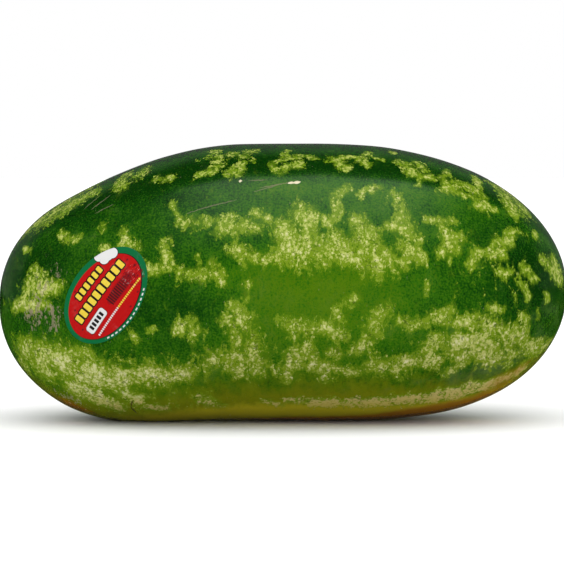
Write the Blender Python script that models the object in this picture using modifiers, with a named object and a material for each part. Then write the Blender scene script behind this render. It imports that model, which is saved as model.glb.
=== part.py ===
"""A whole oval watermelon lying on its side, with an oval produce label stuck on its rind.

Metres, +Z up. The origin is on the table under the middle of the fruit. +X runs along the fruit to its stem
end, -X to its blossom end, and the label is on the -Y side, near the blossom end.
"""

import math
from dataclasses import dataclass

import bmesh
import bpy
from mathutils import Matrix, Vector

# The fruit as it lies.
TIP_TO_TIP = 0.4400  # before the dimples, which leave it 437 mm long over their rims
HEIGHT = 0.2140
WIDTH = 0.2165
REST_CUT = 0.0018  # how much of the round belly the flat that it rests on takes away
WIDEST_AT = 0.0110  # the greatest girth, measured from the middle towards the stem end
SIDE_BOW = 0.004  # how far both tips swing towards -Y, because a fruit on the ground grows a little bent

# The sphere that becomes the fruit: segments run round it, rings run along it.
SEGMENTS = 72
RINGS = 60

# The label is a film stuck on the rind, and the gap stands for its glue.
LABEL_LENGTH = 0.0800
LABEL_WIDTH = 0.0547
LABEL_THICKNESS = 0.0002
LABEL_GAP = 0.0003
LABEL_CELLS = 14
LABEL_STATION = -0.1033  # where the line straight out through its middle leaves the fruit's heart line
LABEL_HEIGHT = 0.1015  # of its middle above the table
LABEL_FACING = math.radians(-16.5)  # its outward side turns from -Y towards the blossom end
LABEL_TILT = math.radians(53.4)  # its long axis climbs towards the stem end


@dataclass
class End:
    """One end of the fruit. The exponents are a superellipse's: higher is fuller, lower is more pointed."""

    reach: float  # from the greatest girth to the tip
    along: float
    across: float
    droop: float  # how far the tip hangs below the middle's centre line
    droop_from: float  # the share of the reach where it begins to hang
    droop_to: float  # and the share where it is all down
    dimple_depth: float
    dimple_radius: float


STEM_END = End(
    reach=TIP_TO_TIP / 2 - WIDEST_AT,
    along=2.81,
    across=1.93,
    droop=0.0057,
    droop_from=0.14,
    droop_to=1.0,
    dimple_depth=0.0030,
    dimple_radius=0.0110,
)
BLOSSOM_END = End(
    reach=TIP_TO_TIP / 2 + WIDEST_AT,
    along=2.99,
    across=2.12,
    droop=0.0152,
    droop_from=0.19,
    droop_to=0.81,
    dimple_depth=0.0016,
    dimple_radius=0.0090,
)


def eased(share, start, end):
    """0 before start, 1 after end, and a smooth S between them."""
    t = min(max((share - start) / (end - start), 0.0), 1.0)
    return t * t * (3 - 2 * t)


def rind_point(direction):
    """The point of the rind for a point of the unit sphere, whose poles lie on +X and -X."""
    end = STEM_END if direction.x > 0 else BLOSSOM_END
    side = math.copysign(1.0, direction.x)
    off_axis = math.hypot(direction.y, direction.z)
    share = abs(direction.x) ** (2 / end.along)
    girth = off_axis ** (2 / end.across)
    round_y = direction.y / off_axis if off_axis > 1e-6 else 0.0
    round_z = direction.z / off_axis if off_axis > 1e-6 else 0.0

    half_height = (HEIGHT + REST_CUT) / 2
    y = round_y * girth * WIDTH / 2 - SIDE_BOW * share**2
    z = round_z * girth * half_height + half_height - REST_CUT
    z -= end.droop * eased(share, end.droop_from, end.droop_to)
    dimple = end.dimple_depth * math.exp(-((girth * WIDTH / 2 / end.dimple_radius) ** 2))
    x = WIDEST_AT + side * (end.reach * share - dimple)
    return Vector((x, y, z))


def plain_material(name, colour, roughness):
    material = bpy.data.materials.new(name)
    material.use_nodes = True
    shader = material.node_tree.nodes["Principled BSDF"]
    shader.inputs["Base Color"].default_value = (*colour, 1.0)
    shader.inputs["Roughness"].default_value = roughness
    shader.inputs["Metallic"].default_value = 0.0
    return material


def new_object(name, mesh, collection, material):
    made = bpy.data.objects.new(name, mesh)
    made.data.materials.append(material)
    collection.objects.link(made)
    return made


def centre_over_origin(form):
    """Moves the form sideways until its box stands centred on the origin."""
    for axis in (0, 1):
        places = [vertex.co[axis] for vertex in form.verts]
        shift = Vector((0, 0, 0))
        shift[axis] = -(min(places) + max(places)) / 2
        bmesh.ops.translate(form, verts=form.verts, vec=shift)


def cut_resting_flat(form):
    """Takes off the belly below the table and closes it with one flat face."""
    bmesh.ops.bisect_plane(
        form,
        geom=form.verts[:] + form.edges[:] + form.faces[:],
        dist=1e-6,
        plane_co=(0, 0, 0),
        plane_no=(0, 0, -1),
        clear_outer=True,
    )
    rim = [edge for edge in form.edges if edge.is_boundary]
    bmesh.ops.holes_fill(form, edges=rim, sides=0)


def make_watermelon(collection):
    form = bmesh.new()
    bmesh.ops.create_uvsphere(
        form,
        u_segments=SEGMENTS,
        v_segments=RINGS,
        radius=1.0,
        matrix=Matrix.Rotation(math.pi / 2, 4, "Y"),
    )
    for vertex in form.verts:
        vertex.co = rind_point(vertex.co)
    centre_over_origin(form)
    cut_resting_flat(form)
    bmesh.ops.recalc_face_normals(form, faces=form.faces)
    mesh = bpy.data.meshes.new("watermelon")
    form.to_mesh(mesh)
    form.free()
    mesh.shade_smooth()
    mesh.set_sharp_from_angle(angle=math.radians(30))
    return new_object(
        "watermelon",
        mesh,
        collection,
        plain_material("green_rind", (0.10, 0.20, 0.02), 0.4),
    )


def oval_sheet():
    """A flat oval of quads, made from a square grid whose edge is drawn in to a circle and then stretched."""
    sheet = bmesh.new()
    bmesh.ops.create_grid(sheet, x_segments=LABEL_CELLS, y_segments=LABEL_CELLS, size=1.0)
    for vertex in sheet.verts:
        x, y = vertex.co.x, vertex.co.y
        vertex.co.x = x * math.sqrt(1 - y * y / 2) * LABEL_LENGTH / 2
        vertex.co.y = y * math.sqrt(1 - x * x / 2) * LABEL_WIDTH / 2
    mesh = bpy.data.meshes.new("label")
    sheet.to_mesh(mesh)
    sheet.free()
    return mesh


def make_label(collection, watermelon):
    """The label is laid flat in front of the rind, wrapped onto it, and then given its thickness."""
    label = new_object("label", oval_sheet(), collection, plain_material("red_film", (0.75, 0.02, 0.02), 0.35))
    lay_upright = Matrix.Rotation(math.pi / 2, 4, "X")
    tilt = Matrix.Rotation(LABEL_TILT, 4, "Z")
    face = Matrix.Rotation(LABEL_FACING, 4, "Z")
    outward = face @ Vector((0, -1, 0))
    stand_off = WIDTH / 2
    place = Vector((LABEL_STATION, 0, LABEL_HEIGHT)) + outward * stand_off
    label.matrix_world = Matrix.Translation(place) @ face @ lay_upright @ tilt

    wrap = label.modifiers.new("wrap_on_rind", "SHRINKWRAP")
    wrap.target = watermelon
    wrap.wrap_method = "PROJECT"
    wrap.use_project_z = True
    wrap.use_positive_direction = False
    wrap.use_negative_direction = True
    wrap.wrap_mode = "ABOVE_SURFACE"
    wrap.offset = LABEL_GAP
    film = label.modifiers.new("film", "SOLIDIFY")
    film.thickness = LABEL_THICKNESS
    film.offset = 1.0
    label.data.shade_smooth()
    return label


def main():
    for leftover in list(bpy.data.objects):
        bpy.data.objects.remove(leftover, do_unlink=True)
    collection = bpy.data.collections.new("watermelon")
    bpy.context.scene.collection.children.link(collection)
    watermelon = make_watermelon(collection)
    make_label(collection, watermelon)


main()
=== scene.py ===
"""The look of a whole oval watermelon: a waxy green rind with ragged pale stripes, and the oval film label
that the packer stuck near its blossom end. Metres, +Z up, +X to the stem end, -Y to the label's side."""

import math
import random

import bmesh
import bpy
import numpy as np
from mathutils import Matrix, Vector
from mathutils.bvhtree import BVHTree


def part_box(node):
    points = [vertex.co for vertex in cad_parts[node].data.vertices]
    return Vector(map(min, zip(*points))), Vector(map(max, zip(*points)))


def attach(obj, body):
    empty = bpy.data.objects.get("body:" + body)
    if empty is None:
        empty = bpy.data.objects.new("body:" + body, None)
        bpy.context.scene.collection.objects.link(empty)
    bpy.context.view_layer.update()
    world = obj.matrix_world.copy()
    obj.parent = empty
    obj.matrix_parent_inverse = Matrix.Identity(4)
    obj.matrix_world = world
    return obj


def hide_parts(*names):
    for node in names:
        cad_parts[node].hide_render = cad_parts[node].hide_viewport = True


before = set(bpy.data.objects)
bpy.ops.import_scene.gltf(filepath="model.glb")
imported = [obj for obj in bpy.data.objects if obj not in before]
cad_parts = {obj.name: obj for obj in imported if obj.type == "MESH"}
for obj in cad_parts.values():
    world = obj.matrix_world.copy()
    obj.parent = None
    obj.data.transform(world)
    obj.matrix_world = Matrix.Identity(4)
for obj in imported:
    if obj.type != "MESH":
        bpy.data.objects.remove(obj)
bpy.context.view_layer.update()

# ---------------------------------------------------------------------------------------------------------
# The fruit's body grew in one piece: a long oval that hangs a little lower at its blossom end and tapers
# more to its stem end. It is made as a ball of rings and segments. Each ring has its girth on the way from
# tip to tip, both tips have a shallow dimple, and there is a small flat where it lies.
fruit_low, fruit_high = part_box("watermelon")
DIMPLES_TAKE = 0.0031  # what the two dimples take off the length
tip_to_tip = fruit_high.x - fruit_low.x + DIMPLES_TAKE
half_width = (fruit_high.y - fruit_low.y) / 2
REST_CUT = 0.0018  # how much of the round belly is pressed flat
half_height = (fruit_high.z - fruit_low.z + REST_CUT) / 2
FLAT_EDGE = 0.0005  # how softly the belly turns into the flat
WIDEST_AT = 0.0110  # the greatest girth, from the middle towards the stem end
SIDE_BOW = 0.004  # how far both tips swing towards the label's side
SEGMENTS = 240
RINGS = 396
PROFILE_STEPS = 4001
TIP_CROWDING = 2.0  # how many more rings a tip has than the middle, for the scars there
TIP_REGION = 0.014
LUMPS = ((0.0005, 14.0, 3), (0.00022, 38.0, 11))  # height, lumps in a metre, seed


class End:
    """One end of the fruit. The exponents are a superellipse's: higher is fuller, lower is more pointed."""

    def __init__(self, reach, along, across, droop, droop_span, dimple_depth, dimple_radius):
        self.reach, self.along, self.across = reach, along, across
        self.droop, self.droop_span = droop, droop_span
        self.dimple_depth, self.dimple_radius = dimple_depth, dimple_radius


stem_end = End(tip_to_tip / 2 - WIDEST_AT, 2.81, 1.93, 0.0057, (0.14, 1.0), 0.0030, 0.0110)
blossom_end = End(tip_to_tip / 2 + WIDEST_AT, 2.99, 2.12, 0.0152, (0.19, 0.81), 0.0016, 0.0090)


def smooth_step(value, start, end):
    t = np.clip((value - start) / (end - start), 0.0, 1.0)
    return t * t * (3 - 2 * t)


def profile(end):
    """Share of the reach and girth on the way from the widest ring to the tip, and a count of the way gone
    that runs faster where the rings crowd."""
    turn = np.linspace(0.0, math.pi / 2, PROFILE_STEPS)
    share = np.sin(turn) ** (2 / end.along)
    girth = np.cos(turn) ** (2 / end.across)
    girth[-1] = 0.0
    walked = np.hypot(np.diff(share) * end.reach, np.diff(girth) * half_height)
    walked = np.concatenate(([0.0], np.cumsum(walked)))
    crowding = 1 + TIP_CROWDING * np.exp(-(((walked[-1] - walked) / TIP_REGION) ** 2))
    count_up = np.concatenate(([0.0], np.cumsum(np.diff(walked) * crowding[1:])))
    return share, girth, count_up


def place_rings(polar):
    """The share and girth of each point, from its angle off +X, and whether it is on the stem's end."""
    stem_share, stem_girth, stem_count = profile(stem_end)
    blossom_share, blossom_girth, blossom_count = profile(blossom_end)
    total = stem_count[-1] + blossom_count[-1]
    counted = polar / math.pi * total
    to_stem = counted < stem_count[-1]
    from_widest = np.where(to_stem, stem_count[-1] - counted, counted - stem_count[-1])
    share = np.where(
        to_stem,
        np.interp(from_widest, stem_count, stem_share),
        np.interp(from_widest, blossom_count, blossom_share),
    )
    girth = np.where(
        to_stem,
        np.interp(from_widest, stem_count, stem_girth),
        np.interp(from_widest, blossom_count, blossom_girth),
    )
    return share, girth, to_stem


def by_end(to_stem, name):
    """One of the measures of an end, for each point by the end that it belongs to."""
    return np.where(to_stem, getattr(stem_end, name), getattr(blossom_end, name))


def value_noise(points, per_metre, seed):
    """Smooth lumps between -1 and 1."""
    side = 64
    grid = np.random.default_rng(seed).uniform(-1, 1, (side, side, side))
    cell = points * per_metre + side / 2
    low = np.floor(cell).astype(int)
    part = cell - low
    part = part * part * (3 - 2 * part)
    total = np.zeros(len(points))
    for corner in np.ndindex(2, 2, 2):
        weight = np.prod(np.where(corner, part, 1 - part), axis=1)
        index = (low + corner) % side
        total += weight * grid[index[:, 0], index[:, 1], index[:, 2]]
    return total


ball = bmesh.new()
bmesh.ops.create_uvsphere(
    ball, u_segments=SEGMENTS, v_segments=RINGS, radius=1.0, matrix=Matrix.Rotation(math.pi / 2, 4, "Y")
)
direction = np.array([vertex.co[:] for vertex in ball.verts])
off_axis = np.hypot(direction[:, 1], direction[:, 2])
round_y = np.divide(direction[:, 1], off_axis, out=np.zeros(len(off_axis)), where=off_axis > 1e-5)
round_z = np.divide(direction[:, 2], off_axis, out=np.zeros(len(off_axis)), where=off_axis > 1e-5)
share, girth, to_stem = place_rings(np.arctan2(off_axis, direction[:, 0]))

tip_radius = girth * half_width
dimple = by_end(to_stem, "dimple_depth") * np.exp(-((tip_radius / by_end(to_stem, "dimple_radius")) ** 2))
station = WIDEST_AT + np.where(to_stem, 1, -1) * (by_end(to_stem, "reach") * share - dimple)
spans = zip(stem_end.droop_span, blossom_end.droop_span)
droop_from, droop_to = (np.where(to_stem, at_stem, at_blossom) for at_stem, at_blossom in spans)
droop = by_end(to_stem, "droop") * smooth_step(share, droop_from, droop_to)
rind_points = np.stack(
    (
        station,
        round_y * girth * half_width - SIDE_BOW * share**2,
        round_z * girth * half_height + half_height - REST_CUT - droop,
    ),
    axis=1,
)
for axis in (0, 1):
    across_box = rind_points[:, axis]
    middle_now = (across_box.min() + across_box.max()) / 2
    rind_points[:, axis] += (fruit_low[axis] + fruit_high[axis]) / 2 - middle_now

# The stem left a corky ring with a sunken middle, and the flower a small button, both of them out of round.
STEM_SCAR = 0.0050
BLOSSOM_SCAR = 0.0022
RING_HEIGHT = 0.0007
RING_BREADTH = 0.0011
HOLLOW_DEPTH = 0.0009
BUTTON_HEIGHT = 0.0006
turn = np.arctan2(round_z, round_y)
scar_reach = tip_radius * (1 + 0.12 * np.sin(3 * turn + 0.6) + 0.07 * np.sin(7 * turn))
ring = RING_HEIGHT * np.exp(-(((scar_reach - STEM_SCAR) / RING_BREADTH) ** 2))
hollow = HOLLOW_DEPTH * (1 - smooth_step(scar_reach, 0.4 * STEM_SCAR, 0.85 * STEM_SCAR))
button = BUTTON_HEIGHT * (1 - smooth_step(scar_reach, 0.3 * BLOSSOM_SCAR, 1.3 * BLOSSOM_SCAR))
rind_points[:, 0] += np.where(to_stem, ring - hollow, -button)

outward = np.stack((np.zeros(len(girth)), round_y, round_z), axis=1)
for height, per_metre, seed in LUMPS:
    lump = height * np.minimum(girth * 3, 1) * value_noise(rind_points, per_metre, seed)
    rind_points += outward * lump[:, None]
z = rind_points[:, 2]
rind_points[:, 2] = (z + np.sqrt(z * z + FLAT_EDGE**2)) / 2

angle = np.degrees(np.arctan2(round_z, -round_y))  # 0 on the label's side, 90 on top, 180 at the back
arc_per_degree = girth * half_width * 1000 * math.pi / 180  # in mm
for vertex, place in zip(ball.verts, rind_points):
    vertex.co = place
rind_mesh = bpy.data.meshes.new("rind")
ball.to_mesh(rind_mesh)
ball.free()
rind_mesh.shade_smooth()
rind = bpy.data.objects.new("rind", rind_mesh)
bpy.context.scene.collection.objects.link(rind)

# The skin's own measures, for the marks that are laid on it: along the fruit, and round it from the
# label's side. The join of the map runs along the belly, which is plain.
SKIN_RADIUS = 0.108
skin_map = rind_mesh.uv_layers.new(name="skin")
loop_vertex = np.zeros(len(rind_mesh.loops), int)
rind_mesh.loops.foreach_get("vertex_index", loop_vertex)
loop_start = np.zeros(len(rind_mesh.polygons), int)
rind_mesh.polygons.foreach_get("loop_start", loop_start)
loop_total = np.zeros(len(rind_mesh.polygons), int)
rind_mesh.polygons.foreach_get("loop_total", loop_total)
loop_angle = (angle[loop_vertex] + 90) % 360
loop_on_axis = girth[loop_vertex] < 1e-4
polygon_of_loop = np.repeat(np.arange(len(loop_start)), loop_total)
largest = np.zeros(len(loop_start))
np.maximum.at(largest, polygon_of_loop, np.where(loop_on_axis, 0, loop_angle))
loop_angle = np.where((largest[polygon_of_loop] > 270) & (loop_angle < 90), loop_angle + 360, loop_angle)
loop_angle = np.where(loop_on_axis, largest[polygon_of_loop], loop_angle)
skin = np.stack((rind_points[loop_vertex, 0], np.radians(loop_angle - 90) * SKIN_RADIUS), axis=1)
skin_map.data.foreach_set("uv", skin.astype(np.float32).ravel())

# The pale lace of the stripes, where it shows from the label's side. A stroke runs between two places, and
# each place is a station in mm from the middle and an angle in degrees up from the label's side. The last
# number of a stroke is its half-breadth in mm.
TOP_STRIPE = (
    (-195, 73, -150, 80, 7), (-182, 65, -148, 68, 8), (-196, 50, -195, 44, 2), (-124, 62, -119, 74, 6),
    (-112, 66, -104, 73, 6), (-97, 59, -84, 57, 4), (-66, 67, -65, 65, 2), (-52, 74, -47, 60, 5),
    (-62, 55, -50, 57, 4), (-55, 66, -42, 66, 5), (-40, 52, -34, 58, 4), (-38, 68, -30, 66, 6),
    (-30, 60, -31, 52, 2.5), (-28, 70, -22, 72, 4), (-24, 64, -24, 60, 2), (-8, 58, -4, 54, 3),
    (-6, 61, 0, 62, 2.5), (2, 56, 12, 58, 4), (3, 71, 1, 66, 3), (5, 64, 24, 65, 3.5), (38, 64, 46, 58, 5),
    (44, 66, 62, 65, 2.5), (58, 62, 64, 60, 3.5), (63, 66, 66, 72, 2.5), (70, 66, 76, 65, 2),
    (84, 77, 84, 73, 2.5), (92, 65, 100, 60, 5), (102, 68, 106, 62, 4), (97, 58, 110, 56, 4),
    (105, 53, 103, 50, 2), (110, 58, 120, 57, 3), (121, 60, 123, 51, 5), (128, 56, 137, 60, 6),
    (128, 52, 136, 51, 4), (126, 68, 127, 63, 2.5), (142, 60, 150, 56, 5), (145, 52, 151, 46, 4),
    (148, 73, 149, 62, 3), (155, 51, 160, 49, 2.5), (168, 84, 176, 56, 7), (175, 80, 184, 66, 6),
    (165, 72, 160, 76, 3), (192, 48, 192, 43, 1.6),
)
MIDDLE_STRIPE = (
    (-165, 42, -157, 36, 3), (-137, 39, -134, 36, 2.5), (-120, 33, -117, 30, 3), (-118, 27, -110, 24, 4),
    (-136, 27, -131, 26, 2.5), (-86, 23, -85, 13, 3.5), (-104, 11, -84, 12, 3.5), (-84, 40, -79, 32, 2.5),
    (-78, 31, -60, 28, 4), (-60, 29, -35, 28, 4), (-46, 24, -34, 26, 5), (-40, 30, -36, 32, 2),
    (-28, 27, -20, 25, 4), (-20, 32, -10, 28, 3), (-34, 16, -24, 13, 5), (-24, 12, -10, 12, 2.5),
    (-8, 13, 4, 12, 5), (0, 26, 4, 14, 6), (12, 32, 20, 22, 5), (22, 34, 20, 26, 3), (4, 16, 30, 14, 9),
    (28, 14, 60, 12, 6), (40, 20, 46, 12, 5), (62, 22, 66, 10, 8), (66, 16, 80, 12, 7), (56, 30, 62, 24, 4),
    (36, 26, 31, 28, 2.5), (40, 30, 40, 40, 2.5), (40, 40, 48, 45, 3.5), (58, 41, 62, 44, 2),
    (66, 44, 72, 45, 2.5), (80, 43, 86, 38, 3), (84, 40, 88, 31, 4), (80, 28, 94, 26, 4),
    (62, 20, 72, 13, 7), (78, 12, 92, 12, 4.5), (92, 18, 100, 14, 5), (97, 24, 102, 21, 3),
    (107, 31, 118, 33, 2.5), (122, 33, 129, 34, 2.5), (119, 30, 124, 24, 4), (124, 25, 134, 24, 4),
    (118, 18, 130, 19, 4), (123, 20, 124, 14, 2.5), (141, 13, 143, 17, 3.5), (143, 19, 150, 20, 3.5),
    (152, 20, 162, 22, 5), (160, 26, 168, 30, 4.5), (168, 34, 178, 40, 3), (162, 12, 168, 11, 3),
    (182, 15, 190, 12, 3), (200, 27, 208, 22, 4), (206, 34, 212, 12, 4),
)
LONE_PATCHES = (
    (-190, 26, -182, 20, 3.5), (-192, 15, -170, 12, 5.5), (-200, 4, -176, 2, 4.5), (-72, 8, -60, 6, 5),
    (-60, 8, -46, 7, 4), (-48, 7, -45, 3, 2.5), (-54, 12, -50, 10, 3), (-64, 15, -62, 12, 1.5),
    (-24, 4, -25, 1, 2), (-27, -3, -27, -5, 1.6), (108, 3, 106, -1, 2), (179, 6, 183, 0, 2.2),
    (199, 1, 200, -5, 1.8), (-114, -14, -110, -16, 2.5), (-98, -12, -95, -12, 1.8),
)
LOWER_STRIPE = (
    (-160, -22, -146, -22, 4), (-190, -28, -165, -26, 9), (-165, -30, -140, -33, 9),
    (-195, -38, -185, -45, 8), (-185, -32, -178, -42, 5), (-140, -35, -125, -38, 6),
    (-120, -35, -100, -34, 5), (-100, -33, -75, -36, 6), (-158, -46, -142, -48, 6),
    (-142, -50, -125, -57, 6), (-118, -45, -108, -48, 4), (-200, -45, -197, -60, 4),
    (-80, -13, -66, -12, 4.5), (-68, -16, -62, -14, 4), (-36, -7, -30, -10, 4), (-42, -12, -22, -12, 4),
    (-38, -14, -36, -20, 4), (-28, -14, -22, -19, 4), (-30, -22, -20, -26, 7), (-50, -29, -20, -29, 7),
    (-40, -33, -20, -35, 6), (4, -13, 8, -17, 5), (10, -14, 34, -15, 5), (34, -16, 42, -18, 4),
    (6, -27, 20, -24, 6), (4, -31, 16, -32, 4), (0, -34, 5, -38, 4), (38, -25, 42, -28, 3),
    (24, -31, 40, -33, 5), (32, -36, 34, -39, 4), (42, -34, 58, -35, 3.5), (46, -5, 55, -4, 3),
    (40, -8, 43, -12, 2.5), (74, -9, 66, -16, 6), (66, -17, 58, -25, 4), (70, -33, 80, -31, 5),
    (88, -12, 104, -14, 4), (112, -11, 122, -8, 4), (120, -13, 150, -14, 4), (145, -10, 150, -12, 3),
    (150, -15, 162, -16, 4), (106, -26, 117, -21, 5), (66, -32, 90, -33, 6), (90, -31, 114, -32, 5),
    (84, -34, 88, -40, 3), (128, -24, 158, -20, 7), (128, -27, 134, -33, 6), (125, -38, 140, -32, 5),
    (145, -30, 160, -38, 7), (150, -26, 160, -30, 5), (164, -21, 180, -28, 6), (165, -33, 176, -38, 5),
    (168, -42, 172, -45, 3), (182, -24, 186, -36, 4), (184, -40, 196, -48, 6), (190, -36, 195, -44, 4),
    (179, -13, 184, -19, 2), (192, -12, 193, -18, 1.5), (154, -6, 164, -6, 2.5),
)
BELLY_STRIPE = (
    (-100, -55, -90, -58, 4), (-60, -50, -48, -57, 5), (-12, -53, -5, -56, 4), (2, -52, 14, -52, 3),
    (20, -53, 38, -55, 4.5), (38, -56, 56, -53, 3), (56, -56, 80, -55, 5), (80, -55, 112, -55, 6),
    (112, -54, 140, -56, 7), (140, -56, 165, -58, 6), (160, -57, 182, -60, 4), (144, -50, 156, -53, 3),
    (198, -45, 204, -60, 3.5),
)
# The stripes on the hidden sides.
LACE_REACH = 205.0  # how far from the middle, in mm, they go
HIDDEN_ANGLES = (101, 138, 176, 213, 244)
HIDDEN_WANDER = 4  # degrees


def hidden_stripe(rng, angle_at_middle, wander):
    """A stripe on the side away from the label: a ragged row of patches from end to end."""
    strokes = []
    at = -LACE_REACH
    while at < LACE_REACH:
        length = rng.uniform(8, 26)
        drift = wander * math.sin(at / 60 + angle_at_middle)
        here = angle_at_middle + drift + rng.uniform(-5, 5)
        there = angle_at_middle + drift + rng.uniform(-5, 5)
        strokes.append((at, here, at + length, there, rng.uniform(3, 7)))
        if rng.random() < 0.65:
            spur = rng.choice((-1, 1)) * rng.uniform(6, 13)
            root = at + length / 2
            strokes.append((root, here, root + rng.uniform(-6, 6), here + spur, rng.uniform(2, 4.5)))
        at += length + rng.uniform(2, 16)
    return strokes


strokes = list(TOP_STRIPE + MIDDLE_STRIPE + LONE_PATCHES + LOWER_STRIPE + BELLY_STRIPE)
stripe_rng = random.Random(7)
for angle_at_middle in HIDDEN_ANGLES:
    strokes += hidden_stripe(stripe_rng, angle_at_middle, HIDDEN_WANDER)

station_mm = rind_points[:, 0] * 1000
WANDERS = ((2.6, 70.0, 21), (1.5, 190.0, 31))  # how far the lace strays in mm, bends in a metre, seed


def half_turn(degrees):
    """The same angle between -180 and 180."""
    return (degrees + 180) % 360 - 180


def stroke_cover(strokes):
    """1 inside the strokes, a half at their edges, 0 well outside them."""
    stray_x = np.zeros(len(station_mm))
    stray_a = np.zeros(len(station_mm))
    for far, per_metre, seed in WANDERS:
        stray_x += far * value_noise(rind_points, per_metre, seed)
        stray_a += far * value_noise(rind_points, per_metre, seed + 1)
    cover = np.zeros(len(station_mm))
    for x1, angle1, x2, angle2, breadth in strokes:
        run_x = x2 - x1
        run_a = half_turn(angle2 - angle1) * arc_per_degree
        dx = station_mm - x1 + stray_x
        da = half_turn(angle - angle1) * arc_per_degree + stray_a
        t = np.clip((dx * run_x + da * run_a) / np.maximum(run_x**2 + run_a**2, 1e-6), 0, 1)
        away = np.hypot(dx - t * run_x, da - t * run_a)
        cover = np.maximum(cover, 1 - smooth_step(away, 0.0, 2.2 * breadth + 1.0))
    return cover


def store(name, values):
    """Keeps a value at each point of the rind, for its material."""
    layer = rind_mesh.attributes.new(name, "FLOAT", "POINT")
    layer.data.foreach_set("value", np.asarray(values, np.float32))


def patch_cover(patches):
    """Soft ovals, each with a station, an angle, half its length in mm, half its breadth in degrees, and how
    strong it is."""
    cover = np.zeros(len(station_mm))
    for x, at_angle, half_length, half_degrees, strength in patches:
        away = np.hypot((station_mm - x) / half_length, half_turn(angle - at_angle) / half_degrees)
        cover += strength * (1 - smooth_step(away, 0.0, 1.6))
    return cover


# How yellow the green is between the stripes, or how dark where the strength is below 0. The long bands at
# 59 and 80 degrees darken the whole top as painted shade, and the band at 44 degrees lightens the green just
# under the highlight as a painted highlight.
SUN_TONE_AND_PAINTED_LIGHT = (
    (30, -2, 70, 16, 0.9), (60, 6, 40, 8, 0.15), (20, -30, 90, 20, 0.5), (-130, -45, 60, 20, 0.4),
    (-90, 5, 50, 30, -0.35), (-70, -5, 40, 12, -0.4), (170, 5, 50, 35, -0.35), (0, 59, 240, 9, -1.5),
    (0, 80, 240, 14, -0.9), (60, 44, 90, 7, 0.35), (-100, 48, 60, 14, -0.7), (-190, 30, 45, 30, -0.7),
    (190, 22, 35, 26, -0.9), (-70, 5, 70, 8, 0.3), (-120, -52, 60, 16, 0.5), (190, -10, 30, 40, -0.4),
    (-200, 20, 30, 40, -0.5),
)
# Where the fruit lay on the soil it is straw yellow, and rusty at its dampest.
SOIL_SPOT = ((70, -80, 150, 24, 1.0), (-60, -82, 150, 25, 0.65), (20, -62, 220, 26, 0.5))
RUST = ((120, -71, 60, 11, 1.2), (30, -76, 80, 9, 1.1), (172, -56, 26, 9, 0.7), (-160, -68, 22, 10, 0.9))
# Where the skin has been scuffed and healed to grey cork.
SCUFFS = (
    (-180, 4, 12, 18, 0.38), (-190, -6, 9, 16, 0.36), (-170, -8, 8, 14, 0.34), (-162, -58, 18, 9, 0.42),
    (-168, 20, 10, 8, 0.3),
)
# Where the lace thins out into loose flecks.
FLECKED = (
    (165, 6, 45, 24, 0.14), (-105, 15, 25, 10, 0.25), (-190, 10, 22, 26, 0.22), (30, 22, 60, 14, 0.22),
    (140, -24, 50, 16, 0.25), (-160, -34, 45, 16, 0.25), (20, -28, 90, 12, 0.12), (120, -55, 90, 6, 0.85),
    (60, -55, 50, 4, 0.3), (-120, -36, 60, 11, 0.65), (-110, -55, 60, 10, 0.3),
)
# Where the stripes are only a shade lighter than the green.
FADED = (
    (-150, 75, 110, 24, 1.1), (-60, 66, 60, 14, 1.5), (40, 70, 110, 16, 1.35), (130, 60, 60, 12, 0.35),
    (-150, 38, 30, 16, 0.7), (-110, 20, 40, 14, 0.5), (40, -32, 130, 12, 0.30), (-190, 20, 30, 16, 1.1),
    (200, 20, 40, 30, 0.4), (150, -28, 60, 18, 0.35), (-60, 28, 50, 12, 0.45),
)
# Where the wax has a dull bluish bloom.
BLOOMS = (
    (150, -42, 50, 8, 0.8), (178, -38, 30, 9, 0.4), (204, -8, 22, 30, 0.45), (-205, 30, 16, 30, 0.3),
)
# Where it stood close to the soil a film of dust dulls it.
DUSTY = ((20, -38, 170, 20, 0.9), (160, -30, 60, 24, 0.4))
THICKEST_LACE = 1.26
SOIL_FADES = (0.020, 0.075)  # how far from a tip, in metres, the soil's stain begins and is full
store("lace", np.minimum(stroke_cover(strokes) + patch_cover(FLECKED), THICKEST_LACE))
store("dusty", np.minimum(patch_cover(DUSTY), 1.0))
store("faded", patch_cover(FADED))
store("bloom", patch_cover(BLOOMS))
# This holds the sun's tone, the painted shade of the bands along the top, and the painted highlight band
# under the highlight.
store("sun_tone_and_painted_light", patch_cover(SUN_TONE_AND_PAINTED_LIGHT))
store("soil", patch_cover(SOIL_SPOT) * smooth_step(scar_reach, *SOIL_FADES))
store("rust", patch_cover(RUST))
store("scuffed", patch_cover(SCUFFS))
scar_radius = np.where(to_stem, STEM_SCAR, BLOSSOM_SCAR)
store("scarred", 1 - smooth_step(scar_reach, scar_radius, 1.6 * scar_radius))


# The rind's skin is waxy and an even green, striated across the stripes. The lace on it is broken up into
# ragged flecks with darker veins. It is cork where it was rubbed, and its scratches have healed.
def node(tree, kind, inputs=None, **settings):
    made = tree.nodes.new(kind)
    for name, value in settings.items():
        setattr(made, name, value)
    for socket, value in (inputs or {}).items():
        if isinstance(value, bpy.types.NodeSocket):
            tree.links.new(value, made.inputs[socket])
        else:
            made.inputs[socket].default_value = value
    return made


def calc(tree, operation, *values):
    return node(tree, "ShaderNodeMath", dict(enumerate(values)), operation=operation).outputs[0]


def times(tree, first, second):
    return calc(tree, "MULTIPLY", first, second)


def times_plus(tree, value, factor, rest):
    """The value times the factor, plus the rest."""
    return calc(tree, "MULTIPLY_ADD", value, factor, rest)


def less(tree, first, second):
    return calc(tree, "SUBTRACT", first, second)


def vector_calc(tree, operation, *values):
    return node(tree, "ShaderNodeVectorMath", dict(enumerate(values)), operation=operation).outputs[0]


def stretched(tree, where, *factors):
    return vector_calc(tree, "MULTIPLY", where, factors)


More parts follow.
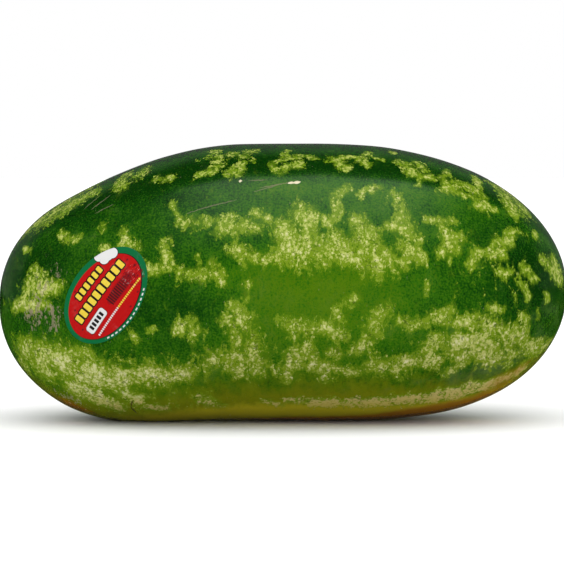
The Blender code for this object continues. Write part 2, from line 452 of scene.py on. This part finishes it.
def between(tree, value, start, end):
    """0 at start, 1 at end, eased."""
    inputs = {"Value": value, "From Min": start, "From Max": end}
    return node(tree, "ShaderNodeMapRange", inputs, interpolation_type="SMOOTHSTEP").outputs["Result"]


def blend(tree, factor, first, second, kind="MIX"):
    made = node(tree, "ShaderNodeMix", {0: factor, 6: first, 7: second}, data_type="RGBA", blend_type=kind)
    return made.outputs[2]


def stored(tree, name):
    return node(tree, "ShaderNodeAttribute", attribute_name=name).outputs["Fac"]


def noise(tree, where, per_metre, detail=3.0, roughness=0.55, distortion=0.0):
    """Cloudy patches between 0 and 1."""
    inputs = {"Vector": where, "Scale": per_metre, "Detail": detail, "Roughness": roughness}
    return node(tree, "ShaderNodeTexNoise", {**inputs, "Distortion": distortion}).outputs["Fac"]


def swing(tree, where, per_metre, *rest):
    """The same noise, as much below 0 as above it."""
    return less(tree, noise(tree, where, per_metre, *rest), 0.5)


def swing_vector(tree, where, per_metre):
    """A small wandering vector, about as often one way as the other."""
    wander = node(tree, "ShaderNodeTexNoise", {"Vector": where, "Scale": per_metre, "Detail": 2.0})
    return vector_calc(tree, "SUBTRACT", wander.outputs["Color"], (0.5, 0.5, 0.5))


def colour(red, green, blue):
    return (red, green, blue, 1.0)


# The darkest green: painted shade where the bands along the top reach it, and dark flecks elsewhere.
DARK_FLECK_AND_SHADE_GREEN = colour(0.0015, 0.027, 0.0006)
DEEP_GREEN = colour(0.005, 0.050, 0.001)
LEAF_GREEN = colour(0.026, 0.120, 0.001)
SUNNY_GREEN = colour(0.072, 0.160, 0.001)
HALO_GREEN = colour(0.105, 0.205, 0.003)
EDGE_GREEN = colour(0.150, 0.245, 0.007)
CREAM = colour(0.370, 0.430, 0.085)
IVORY = colour(0.540, 0.560, 0.240)
SAND = colour(0.470, 0.390, 0.110)
BLOOM = colour(0.085, 0.125, 0.038)
VEIN_GREEN = colour(0.030, 0.070, 0.002)
OLIVE = colour(0.190, 0.205, 0.003)
STRAW = colour(0.400, 0.350, 0.012)
RUSTY = colour(0.290, 0.105, 0.008)
CRACK_BROWN = colour(0.045, 0.028, 0.010)
CORK = colour(0.260, 0.205, 0.125)
HEALED = colour(0.700, 0.620, 0.420)
DUST = colour(0.900, 0.810, 1.120)  # the tint it gives to what it lies on

# About how many of each mark there are in a metre of skin.
SMEARS = 35.0
MOTTLES = 60.0
VEINS = 70.0
FLAMES = 130.0
CURDS = 250.0
TREMORS = 260.0  # of a scratch's line
CRUSTS = 420.0
FLAKE_BENDS = 480.0
FLAKES = 500.0
GRAINS = 520.0
DOTS = 700.0
THREADS = 900.0
SCAR_GRAINS = 900.0
PORES = 1600.0

rind_material = bpy.data.materials.new("waxy_rind")
rind_material.use_nodes = True
tree = rind_material.node_tree
rind_shader = tree.nodes["Principled BSDF"]
place = node(tree, "ShaderNodeTexCoord").outputs["Object"]
across = stretched(tree, place, 1.0, 0.55, 0.55)  # draws marks out round the fruit
lace = stored(tree, "lace")
faded = stored(tree, "faded")

# The lace is ragged like flames across the stripes. Close to, it is made of small flakes, each as pale as
# its luck has it. Where a stripe is faded the flakes stand more apart, and away from the stripes there are
# hardly any.
ragged = swing(tree, across, FLAMES, 7.0, 0.72, 0.5)
grain = swing(tree, across, GRAINS, 5.0, 0.8, 0.6)
curd = swing(tree, across, CURDS, 6.0, 0.78, 0.6)
bent_place = vector_calc(
    tree, "ADD", place, stretched(tree, swing_vector(tree, place, FLAKE_BENDS), 0.0024, 0.0024, 0.0024)
)
flakes = node(tree, "ShaderNodeTexVoronoi", {"Vector": bent_place, "Scale": FLAKES})
luck = node(tree, "ShaderNodeSeparateColor", {0: flakes.outputs["Color"]}).outputs
apart = times_plus(tree, faded, 0.5, 0.4)
reach = times_plus(tree, lace, 0.80, times(tree, faded, -0.17))
reach = times_plus(tree, calc(tree, "POWER", lace, 4.0), 0.15, reach)
near = between(tree, reach, -0.14, 0.14)
fill = times_plus(tree, times(tree, ragged, near), 3.8, reach)
scattered = times_plus(tree, times(tree, grain, near), times_plus(tree, faded, 1.8, 2.5), fill)
scattered = times_plus(tree, less(tree, luck[0], 0.5), times(tree, apart, near), scattered)
pale = between(tree, scattered, 0.50, 0.57)
heart = times_plus(tree, curd, 3.5, times_plus(tree, grain, 2.5, fill))
heart = times_plus(tree, faded, 0.25, heart)
heart = times_plus(tree, less(tree, luck[1], 0.5), calc(tree, "ADD", apart, 0.4), heart)
heart = times_plus(tree, less(tree, 0.35, flakes.outputs["Distance"]), 0.8, heart)
creamy = times(tree, between(tree, heart, 0.82, 1.30), pale)
halo = between(tree, times_plus(tree, ragged, 2.0, reach), 0.08, 0.60)

# The green is mottled, threaded across the stripes and dotted, olive near the soil and lighter round the
# lace. Some of it has a bloom. Bands along the whole top are darkened as painted shade, and a band just
# under the highlight is lightened as a painted highlight.
mottle = swing(tree, place, MOTTLES, 4.0, 0.6)
threads = swing(tree, stretched(tree, place, 1.0, 0.14, 0.14), THREADS, 2.0)
dots = swing(tree, place, DOTS, 2.0)
soil = times_plus(tree, ragged, 0.7, stored(tree, "soil"))
sun_tone_and_painted_light = times_plus(tree, mottle, 1.7, stored(tree, "sun_tone_and_painted_light"))
sun_tone_and_painted_light = times_plus(tree, threads, 0.8, sun_tone_and_painted_light)
sun_tone_and_painted_light = times_plus(tree, dots, 3.2, sun_tone_and_painted_light)
green = blend(tree, between(tree, sun_tone_and_painted_light, -0.7, 0.4), DEEP_GREEN, LEAF_GREEN)
# Painted shade along the top, and the darkest flecks: the green goes to its darkest where the tone falls far
# below 0.
green = blend(tree, between(tree, sun_tone_and_painted_light, -0.5, -1.5), green, DARK_FLECK_AND_SHADE_GREEN)
green = blend(tree, between(tree, sun_tone_and_painted_light, 0.1, 1.3), green, SUNNY_GREEN)
green = blend(tree, times(tree, between(tree, soil, 0.05, 0.5), 0.75), green, OLIVE)
green = blend(tree, times(tree, halo, 0.55), green, HALO_GREEN)
bloomed = times_plus(tree, mottle, 2.2, stored(tree, "bloom"))
green = blend(tree, times(tree, between(tree, bloomed, 0.1, 1.3), 0.55), green, BLOOM)

lace_colour = blend(tree, creamy, EDGE_GREEN, CREAM)
palest = between(tree, times_plus(tree, faded, -0.5, heart), 1.40, 1.90)
lace_colour = blend(tree, palest, lace_colour, IVORY)
sandy = times(tree, between(tree, soil, 0.2, 0.6), between(tree, heart, 0.5, 1.4))
lace_colour = blend(tree, times(tree, sandy, pale), lace_colour, SAND)
skin_colour = blend(tree, pale, green, lace_colour)
skin_colour = blend(tree, stored(tree, "dusty"), skin_colour, DUST, "MULTIPLY")

# Hair-thin dark veins wander along the pale, and crumbs of green lie on it.
vein = calc(tree, "ABSOLUTE", swing(tree, stretched(tree, place, 0.6, 1.2, 1.2), VEINS, 2.5, 0.5, 1.2))
vein = times(tree, between(tree, vein, 0.018, 0.004), between(tree, luck[2], 0.2, 0.7))
vein = times(tree, vein, pale)
crumbs = times(tree, between(tree, dots, 0.06, 0.18), 0.5)
skin_colour = blend(tree, times(tree, calc(tree, "MAXIMUM", vein, crumbs), 0.75), skin_colour, VEIN_GREEN)

# The soil side is straw yellow, less so through the pale, with rusty stains. Rubbed skin is crusty cork.
straw = times(tree, between(tree, soil, 0.55, 1.0), 0.85)
straw = times(tree, straw, times_plus(tree, pale, -0.5, 1.0))
skin_colour = blend(tree, straw, skin_colour, STRAW)
rust = times_plus(tree, mottle, 0.7, stored(tree, "rust"))
skin_colour = blend(tree, times(tree, between(tree, rust, 0.3, 0.95), 0.85), skin_colour, RUSTY)
crusty = swing(tree, stretched(tree, place, 1.0, 0.3, 0.3), CRUSTS, 5.0, 0.75)
rubbed = times_plus(tree, crusty, 5.0, times(tree, stored(tree, "scuffed"), 2.0))
rubbed = times(tree, between(tree, rubbed, 0.75, 1.15), between(tree, luck[2], 0.25, 0.6))
skin_colour = blend(tree, times(tree, rubbed, 0.75), skin_colour, CORK)

# Scratches from the field have healed to thin raised lines of cork, and one deep one has stayed dark.
scratch = bpy.data.node_groups.new("scratch", "ShaderNodeTree")
for socket, kind in (("Place", "Vector"), ("Start", "Vector"), ("End", "Vector"), ("Half Breadth", "Float")):
    scratch.interface.new_socket(socket, in_out="INPUT", socket_type="NodeSocket" + kind)
scratch.interface.new_socket("Mask", in_out="OUTPUT", socket_type="NodeSocketFloat")
given = node(scratch, "NodeGroupInput").outputs
run = vector_calc(scratch, "SUBTRACT", given["End"], given["Start"])
off = vector_calc(scratch, "SUBTRACT", given["Place"], given["Start"])
dotted = [
    node(scratch, "ShaderNodeVectorMath", {0: first, 1: run}, operation="DOT_PRODUCT").outputs["Value"]
    for first in (off, run)
]
way = calc(scratch, "MINIMUM", calc(scratch, "MAXIMUM", calc(scratch, "DIVIDE", *dotted), 0.0), 1.0)
nearest = node(scratch, "ShaderNodeVectorMath", {0: run, "Scale": way}, operation="SCALE").outputs[0]
away = node(scratch, "ShaderNodeVectorMath", {0: off, 1: nearest}, operation="DISTANCE").outputs["Value"]
taper = times(scratch, times(scratch, way, less(scratch, 1.0, way)), 4.0)
width = times(scratch, given["Half Breadth"], times_plus(scratch, taper, 0.8, 0.4))
mask = less(scratch, 1.0, calc(scratch, "DIVIDE", away, times(scratch, width, 1.6)))
scratch.links.new(between(scratch, mask, 0.0, 0.7), node(scratch, "NodeGroupOutput").inputs["Mask"])

skin_place = stretched(tree, node(tree, "ShaderNodeUVMap", uv_map="skin").outputs[0], 1000.0, 1000.0, 0.0)
jitter = stretched(tree, swing_vector(tree, place, TREMORS), 2.4, 2.4, 0.0)
skin_place = vector_calc(tree, "ADD", skin_place, jitter)


def scratched(*line):
    """The mask of one scratch, given like a stroke of the lace."""
    x1, angle1, x2, angle2, breadth = line
    made = node(tree, "ShaderNodeGroup", node_tree=scratch)
    tree.links.new(skin_place, made.inputs["Place"])
    made.inputs["Start"].default_value = (x1, math.radians(angle1) * SKIN_RADIUS * 1000, 0)
    made.inputs["End"].default_value = (x2, math.radians(angle2) * SKIN_RADIUS * 1000, 0)
    made.inputs["Half Breadth"].default_value = breadth
    return made.outputs["Mask"]


def strongest(masks):
    total = masks[0]
    for mask in masks[1:]:
        total = calc(tree, "MAXIMUM", total, mask)
    return total


SCRATCHES = (
    (-144, 52, -130, 58, 0.45), (-141, 48, -127, 50, 0.40), (-21, 42, 6, 47.5, 0.45), (-17, 44, 5, 47, 0.40),
    (-71, 34, -34, 38, 0.35), (-26, 48, -11, 48.6, 0.40), (-150, 55, -139, 61, 0.35),
)
SPOTS = ((8, 46.8, 13, 47.4, 1.05), (4, 46.4, 9, 47.0, 0.8), (-32.5, 48, -31, 48, 1.1))
CRACK = ((-113, -50, -115, -55, 0.6), (-115, -55, -111, -62, 0.5))
healed_line = strongest([scratched(*line) for line in SCRATCHES])
spot_of_cork = strongest([scratched(*line) for line in SPOTS])
crack = strongest([scratched(*line) for line in CRACK])
skin_colour = blend(tree, times(tree, healed_line, 0.45), skin_colour, CORK)
skin_colour = blend(tree, spot_of_cork, skin_colour, HEALED)
skin_colour = blend(tree, times(tree, crack, 0.85), skin_colour, CRACK_BROWN)
scar = between(tree, times_plus(tree, mottle, 0.5, stored(tree, "scarred")), 0.35, 0.65)
scar_grain = between(tree, noise(tree, place, SCAR_GRAINS, 3.0, 0.7), 0.4, 0.6)
skin_colour = blend(tree, scar, skin_colour, blend(tree, scar_grain, RUSTY, CORK))
tree.links.new(skin_colour, rind_shader.inputs["Base Color"])

# The wax is smeared and a little duller on the pale. Cork is dry, and stands a little proud.
wax = times_plus(tree, noise(tree, place, SMEARS, 3.0), 0.08, 0.10)
wax = times_plus(tree, pale, 0.04, wax)
dry = strongest([rubbed, healed_line, spot_of_cork, scar])
tree.links.new(times_plus(tree, dry, 0.4, wax), rind_shader.inputs["Roughness"])
fine = times_plus(tree, pale, 0.5, times(tree, noise(tree, place, PORES, 2.0), 0.3))
fine = times_plus(tree, dry, 2.5, times_plus(tree, crack, -4.0, fine))
relief = node(tree, "ShaderNodeBump", {"Height": fine, "Strength": 0.10, "Distance": 0.0004})
tree.links.new(relief.outputs["Normal"], rind_shader.inputs["Normal"])
rind_shader.inputs["IOR"].default_value = 1.45
rind_mesh.materials.append(rind_material)

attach(rind, "root")
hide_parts("watermelon")

# ---------------------------------------------------------------------------------------------------------
# The label is a thin printed plastic film, cut to an oval, with glue on its back. The packer smoothed it
# down by hand on the rind, near the blossom end. Air trapped under it lifts it in a few folds, and its edge
# has come up a little in places.
LABEL_LENGTH = 0.0800
LABEL_WIDTH = 0.0547
LABEL_FACING = math.radians(-16.5)  # its outward side turns from -Y towards the blossom end
LABEL_TILT = math.radians(53.4)  # its long axis climbs towards the stem end
LABEL_CELLS = 72
FILM = 0.00015
GLUE = 0.0001
label_low, label_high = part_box("label")
label_middle = (label_low + label_high) / 2

face_turn = Matrix.Rotation(LABEL_FACING, 3, "Z")
label_turn = face_turn @ Matrix.Rotation(math.pi / 2, 3, "X") @ Matrix.Rotation(LABEL_TILT, 3, "Z")
label_out = face_turn @ Vector((0, -1, 0))
label_along = label_turn @ Vector((1, 0, 0))
label_up = label_turn @ Vector((0, 1, 0))
FOLDS = (  # one end along and up, the other end, half-breadth, height, in mm
    (20, -15, 33, -6, 1.5, 0.45), (24, -17, 30, -12, 1.2, 0.35), (30, 4, 36, 8, 1.4, 0.30),
    (-36, -3, -28, -4, 1.4, 0.25),
)
EDGE_LIFT = 0.0003
LIFTS_FROM = 0.88  # of the way from the middle to the rim


def film_lift(along, up):
    """How far the film stands off its glue, in metres."""
    lift = 0.0
    for x1, y1, x2, y2, breadth, height in FOLDS:
        run = Vector((x2 - x1, y2 - y1))
        off = Vector((along * 1000 - x1, up * 1000 - y1))
        off -= run * min(max(off.dot(run) / run.length_squared, 0), 1)
        lift += height / 1000 * math.exp(-((off.length / breadth) ** 2))
    rim = math.hypot(along / LABEL_LENGTH, up / LABEL_WIDTH) * 2
    wave = 0.5 + 0.5 * math.sin(5 * math.atan2(up, along) + 1.0)
    return lift + EDGE_LIFT * wave * min(max((rim - LIFTS_FROM) / (1 - LIFTS_FROM), 0), 1) ** 2


rind_tree = BVHTree.FromObject(rind, bpy.context.evaluated_depsgraph_get())
sheet = bmesh.new()
bmesh.ops.create_grid(sheet, x_segments=LABEL_CELLS, y_segments=LABEL_CELLS, size=1.0)
print_map = sheet.loops.layers.uv.new("print")
spot = {}
for vertex in sheet.verts:
    x, y = vertex.co.x, vertex.co.y
    along = x * math.sqrt(1 - y * y / 2) * LABEL_LENGTH / 2
    up = y * math.sqrt(1 - x * x / 2) * LABEL_WIDTH / 2
    start = label_middle + label_along * along + label_up * up + label_out * 0.05
    hit, normal, _, _ = rind_tree.ray_cast(start, -label_out)
    spot[vertex.index] = (along, up)
    vertex.co = hit + normal * (GLUE + FILM + film_lift(along, up))
for face in sheet.faces:
    for loop in face.loops:
        loop[print_map].uv = spot[loop.vert.index]
label_mesh = bpy.data.meshes.new("label_film")
sheet.to_mesh(label_mesh)
sheet.free()
label_mesh.shade_smooth()
label = bpy.data.objects.new("label_film", label_mesh)
bpy.context.scene.collection.objects.link(label)
thickness = label.modifiers.new("thickness", "SOLIDIFY")
thickness.thickness = FILM
thickness.offset = -1.0

# The print is a red field in a green rim, with rows of plain blocks where such labels carry their words.
# Its places are in mm from the middle, along the label and up it.
BLEED = 0.10  # mm over which printed ink fades out


def print_group(name, numbers):
    """A new node group that takes a place on the print, in mm, and some numbers, and gives a mask."""
    group = bpy.data.node_groups.new(name, "ShaderNodeTree")
    group.interface.new_socket("Place", in_out="INPUT", socket_type="NodeSocketVector")
    for number in numbers:
        group.interface.new_socket(number, in_out="INPUT", socket_type="NodeSocketFloat")
    group.interface.new_socket("Mask", in_out="OUTPUT", socket_type="NodeSocketFloat")
    return group, node(group, "NodeGroupInput").outputs, node(group, "NodeGroupOutput")


def from_middle(group, given):
    """How far along and up a place is from the middle of the mark."""
    xy = node(group, "ShaderNodeSeparateXYZ", {0: given["Place"]}).outputs
    return less(group, xy["X"], given["Middle Along"]), less(group, xy["Y"], given["Middle Up"])


def root_of_squares(group, *sides):
    squares = [calc(group, "POWER", side, 2.0) for side in sides]
    return calc(group, "SQRT", calc(group, "ADD", *squares))


# A row of blocks with rounded corners. An outline is the same row, printed that much larger.
BOX = ("Middle Along", "Middle Up", "Half Length", "Half Height")
block_row, given, out = print_group("block_row", (*BOX, "Blocks", "Gap", "Rounding", "Outline"))
x, y = from_middle(block_row, given)
pitch = calc(block_row, "DIVIDE", times(block_row, given["Half Length"], 2.0), given["Blocks"])
counted = calc(block_row, "DIVIDE", calc(block_row, "ADD", x, given["Half Length"]), pitch)
number = calc(block_row, "MAXIMUM", calc(block_row, "FLOOR", counted), 0.0)
number = calc(block_row, "MINIMUM", number, less(block_row, given["Blocks"], 1.0))
inside = less(block_row, less(block_row, counted, number), 0.5)
half_block = less(block_row, times(block_row, pitch, 0.5), times(block_row, given["Gap"], 0.5))
sides = (
    (times(block_row, calc(block_row, "ABSOLUTE", inside), pitch), half_block),
    (calc(block_row, "ABSOLUTE", y), given["Half Height"]),
)
past = [
    calc(block_row, "MAXIMUM", less(block_row, far, less(block_row, half, given["Rounding"])), 0.0)
    for far, half in sides
]
edge = less(block_row, root_of_squares(block_row, *past), given["Rounding"])
edge = less(block_row, edge, given["Outline"])
block_row.links.new(between(block_row, edge, BLEED, -BLEED), out.inputs["Mask"])

oval, given, out = print_group("oval", BOX)
x, y = from_middle(oval, given)
x = calc(oval, "DIVIDE", x, given["Half Length"])
y = calc(oval, "DIVIDE", y, given["Half Height"])
edge = times(oval, less(oval, root_of_squares(oval, x, y), 1.0), given["Half Height"])
oval.links.new(between(oval, edge, BLEED, -BLEED), out.inputs["Mask"])


def printed(group, **numbers):
    made = node(tree, "ShaderNodeGroup", node_tree=group)
    tree.links.new(at, made.inputs["Place"])
    for name, value in numbers.items():
        made.inputs[name.replace("_", " ").title()].default_value = value
    return made.outputs["Mask"]


RIM_GREEN = colour(0.001, 0.128, 0.036)
FIELD_RED = colour(0.410, 0.001, 0.001)
BLOCK_YELLOW = colour(0.680, 0.510, 0.045)
PLATE_WHITE = colour(0.620, 0.620, 0.610)
INK_BLACK = colour(0.010, 0.008, 0.008)
SEED_MAROON = colour(0.110, 0.004, 0.008)

label_material = bpy.data.materials.new("printed_film")
label_material.use_nodes = True
tree = label_material.node_tree
label_shader = tree.nodes["Principled BSDF"]
at = stretched(tree, node(tree, "ShaderNodeUVMap", uv_map="print").outputs[0], 1000.0, 1000.0, 1000.0)
along_print = node(tree, "ShaderNodeSeparateXYZ", {0: at}).outputs["X"]

field = printed(oval, middle_along=-0.9, middle_up=-0.1, half_length=35.6, half_height=23.4)
field_line = printed(oval, middle_along=-0.7, middle_up=-0.4, half_length=36.1, half_height=23.8)
ink = blend(tree, field_line, RIM_GREEN, INK_BLACK)
ink = blend(tree, field, ink, FIELD_RED)
# Small seed marks stand round the field, clear of the rows.
SEEDS = (
    (-28, 6), (-23, 12), (-16, 17), (-31, -1), (-29, -9), (-22, -15), (-12, 20.5), (19, 15), (26, 9.5),
    (31, 3), (31.5, -4.5), (27, -11), (18, -18.5), (6, -20.8),
)
for along, up in SEEDS:
    seed = printed(oval, middle_along=along, middle_up=up, half_length=0.95, half_height=0.65)
    ink = blend(tree, times(tree, seed, 0.85), ink, SEED_MAROON)
# Two rows of yellow blocks with black outlines.
for middle_up, half_length, half_height, blocks in ((15.6, 15.2, 2.7, 6), (5.2, 28.6, 3.4, 10)):
    row = dict(middle_along=-0.5, middle_up=middle_up, half_length=half_length, half_height=half_height)
    for outline, tint in ((0.95, INK_BLACK), (0.0, BLOCK_YELLOW)):
        blocks_here = printed(block_row, **row, blocks=blocks, gap=1.7, rounding=0.7, outline=outline)
        ink = blend(tree, blocks_here, ink, tint)
# A white plate with five black marks on it.
plate = dict(middle_along=-18.8, middle_up=-6.1, half_length=10.6, half_height=3.6, blocks=1, rounding=2.2)
for outline, tint in ((0.35, INK_BLACK), (0.0, PLATE_WHITE)):
    ink = blend(tree, printed(block_row, **plate, gap=0.0, outline=outline), ink, tint)
marks = dict(middle_along=-18.8, middle_up=-6.1, half_length=8.2, half_height=2.0, blocks=5, rounding=0.4)
ink = blend(tree, printed(block_row, **marks, gap=1.1, outline=0.0), ink, INK_BLACK)
# Thin bars in a dark smudge, fading out along the label.
smudge = printed(oval, middle_along=12.0, middle_up=-6.1, half_length=15.0, half_height=4.6)
ink = blend(tree, times(tree, smudge, 0.45), ink, SEED_MAROON)
bars = dict(middle_along=11.0, middle_up=-6.1, half_length=12.5, half_height=3.6, blocks=13, rounding=0.05)
bars_left = between(tree, along_print, 28.0, 10.0)
ink = blend(tree, times(tree, printed(block_row, **bars, gap=0.75, outline=0.0), bars_left), ink, INK_BLACK)
# A line of small blocks, white and then yellow.
small = dict(middle_along=0.0, middle_up=-13.6, half_length=27.0, half_height=0.75, blocks=30, rounding=0.3)
small_tint = blend(tree, between(tree, along_print, -2.0, 1.0), PLATE_WHITE, BLOCK_YELLOW)
ink = blend(tree, printed(block_row, **small, gap=0.55, outline=0.0), ink, small_tint)
# A plain white blot with a scalloped edge breaks the rim.
BLOT = (  # along, up and radius
    (25.0, 20.0, 6.8), (19.6, 22.6, 4.2), (20.6, 17.8, 4.0), (27.6, 15.4, 3.8),
)
for line, tint in ((0.5, INK_BLACK), (0.0, PLATE_WHITE)):
    for along, up, radius in BLOT:
        size = radius + line
        scallop = printed(oval, middle_along=along, middle_up=up, half_length=size, half_height=size)
        ink = blend(tree, scallop, ink, tint)
# A row of fine dashes follows the lower part of the rim.
DASHES_AT = 0.945  # of the way from the middle to the edge
DASHES_TURN = 58.0  # dashes in a radian
share = vector_calc(tree, "DIVIDE", at, (LABEL_LENGTH * 500, LABEL_WIDTH * 500, 1.0))
share_xy = node(tree, "ShaderNodeSeparateXYZ", {0: share}).outputs
turned_to = calc(tree, "ARCTAN2", share_xy["Y"], share_xy["X"])
dashes = between(tree, calc(tree, "SINE", times(tree, turned_to, DASHES_TURN)), -0.5, 0.3)
dashes = times(tree, dashes, between(tree, turned_to, math.radians(-134), math.radians(-132)))
dashes = times(tree, dashes, between(tree, turned_to, math.radians(-52), math.radians(-54)))
way_out = node(tree, "ShaderNodeVectorMath", {0: share}, operation="LENGTH").outputs["Value"]
off_row = calc(tree, "ABSOLUTE", less(tree, way_out, DASHES_AT))
ink = blend(tree, times(tree, dashes, between(tree, off_row, 0.022, 0.012)), ink, PLATE_WHITE)

# The film is a little dull where it was rubbed on, and has picked up some dust. Over the folds near the far
# end it is streaked dark red and pale.
film_place = node(tree, "ShaderNodeTexCoord").outputs["Object"]
rubs = noise(tree, film_place, 120.0, 4.0, 0.6)
ink = blend(tree, times(tree, between(tree, rubs, 0.55, 0.8), 0.05), ink, PLATE_WHITE)
fold_streak_patch = printed(oval, middle_along=25.0, middle_up=-8.5, half_length=9.5, half_height=8.0)
streaks = noise(tree, stretched(tree, at, 0.35, 1.0, 1.0), 0.7, 4.0, 0.7)
ink = blend(tree, times(tree, fold_streak_patch, between(tree, streaks, 0.50, 0.62)), ink, SEED_MAROON)
pale_fold_streaks = times(tree, fold_streak_patch, times(tree, between(tree, streaks, 0.42, 0.34), 0.35))
ink = blend(tree, pale_fold_streaks, ink, PLATE_WHITE)
tree.links.new(ink, label_shader.inputs["Base Color"])
tree.links.new(times_plus(tree, rubs, 0.25, 0.22), label_shader.inputs["Roughness"])
film_grain = noise(tree, film_place, 900.0, 2.0)
film_relief = node(tree, "ShaderNodeBump", {"Height": film_grain, "Strength": 0.08, "Distance": 0.0003})
tree.links.new(film_relief.outputs["Normal"], label_shader.inputs["Normal"])
label_shader.inputs["Specular IOR Level"].default_value = 0.12
label_mesh.materials.append(label_material)

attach(label, "root")
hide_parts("label")

# ---------------------------------------------------------------------------------------------------------
# The fruit lies on a plain pale table. It is lit by a long softbox from low in front to straight overhead
# and by a pale room all round, and the wax mirrors only part of that.
bpy.ops.mesh.primitive_plane_add(size=30.0)
floor = bpy.context.object
floor.name = "floor"
floor_material = bpy.data.materials.new("pale_floor")
floor_material.use_nodes = True
floor_shader = floor_material.node_tree.nodes["Principled BSDF"]
floor_shader.inputs["Base Color"].default_value = (0.92, 0.92, 0.92, 1.0)
floor_shader.inputs["Roughness"].default_value = 0.9
floor_shader.inputs["Specular IOR Level"].default_value = 0.0
floor.data.materials.append(floor_material)
floor.visible_glossy = False

BOX_LIGHT = 1.15  # how much the softbox lights
BOX_SHEEN = 0.80  # how bright the wax mirrors it
ROOM_LIGHT = 1.0  # what the pale room gives back all round
BEHIND_SHEEN = 0.10  # what the wax mirrors of the dim room behind it
FRONT_SHEEN = 0.01
BOX_FRONT = (math.radians(20), math.radians(80))  # how high above the front its light begins and is full
BOX_BACK = math.radians(99)
BOX_ASKEW = math.radians(14)
BEHIND = (math.radians(125), math.radians(145))
world = bpy.data.worlds.new("studio")
bpy.context.scene.world = world
world.use_nodes = True
world.cycles.sampling_method = "NONE"  # so that each kind of ray finds its own light
tree = world.node_tree
sky = tree.nodes["Background"]
sky.inputs["Color"].default_value = (1.0, 1.0, 1.0, 1.0)
sky_place = node(tree, "ShaderNodeTexCoord").outputs["Generated"]
toward = node(tree, "ShaderNodeSeparateXYZ", {0: sky_place}).outputs
climb = calc(tree, "ARCTAN2", toward["Z"], times(tree, toward["Y"], -1.0))
past_back = less(tree, climb, times_plus(tree, toward["X"], BOX_ASKEW, BOX_BACK))
softbox = times(tree, between(tree, climb, *BOX_FRONT), between(tree, past_back, math.radians(3), 0.0))
softbox = times(tree, softbox, between(tree, calc(tree, "ABSOLUTE", toward["X"]), 0.95, 0.7))
behind = times(tree, between(tree, climb, *BEHIND), BEHIND_SHEEN)
middle = times(tree, between(tree, toward["X"], -0.45, -0.08), between(tree, toward["X"], 0.58, 0.20))
room_sheen = calc(tree, "MAXIMUM", behind, FRONT_SHEEN)
mirrored = times_plus(tree, times(tree, softbox, middle), BOX_SHEEN, room_sheen)
lit = times_plus(tree, softbox, BOX_LIGHT, ROOM_LIGHT)
ray = node(tree, "ShaderNodeLightPath").outputs
light = calc(tree, "MAXIMUM", mirrored, times(tree, ray["Is Diffuse Ray"], lit))
light = calc(tree, "MAXIMUM", light, ray["Is Camera Ray"])
tree.links.new(light, sky.inputs["Strength"])

VIEW_DISTANCE = 2.0
VIEW_RISE = math.radians(3.0)
FRAME_WIDTH = 0.4388  # what the camera takes in, across the fruit
SENSOR = 0.036
AIM_X, AIM_Z = -0.0004, -0.0003  # from the middle of the fruit
target = Vector((AIM_X, 0, (fruit_low.z + fruit_high.z) / 2 + AIM_Z))
camera_data = bpy.data.cameras.new("camera")
camera_data.sensor_width = SENSOR * 1000
camera_data.lens = SENSOR * VIEW_DISTANCE / FRAME_WIDTH * 1000
camera = bpy.data.objects.new("camera", camera_data)
camera.location = target + VIEW_DISTANCE * Vector((0, -math.cos(VIEW_RISE), math.sin(VIEW_RISE)))
camera.rotation_euler = (target - camera.location).to_track_quat("-Z", "Y").to_euler()
bpy.context.scene.collection.objects.link(camera)
bpy.context.scene.camera = camera
bpy.context.scene.view_settings.view_transform = "Standard"
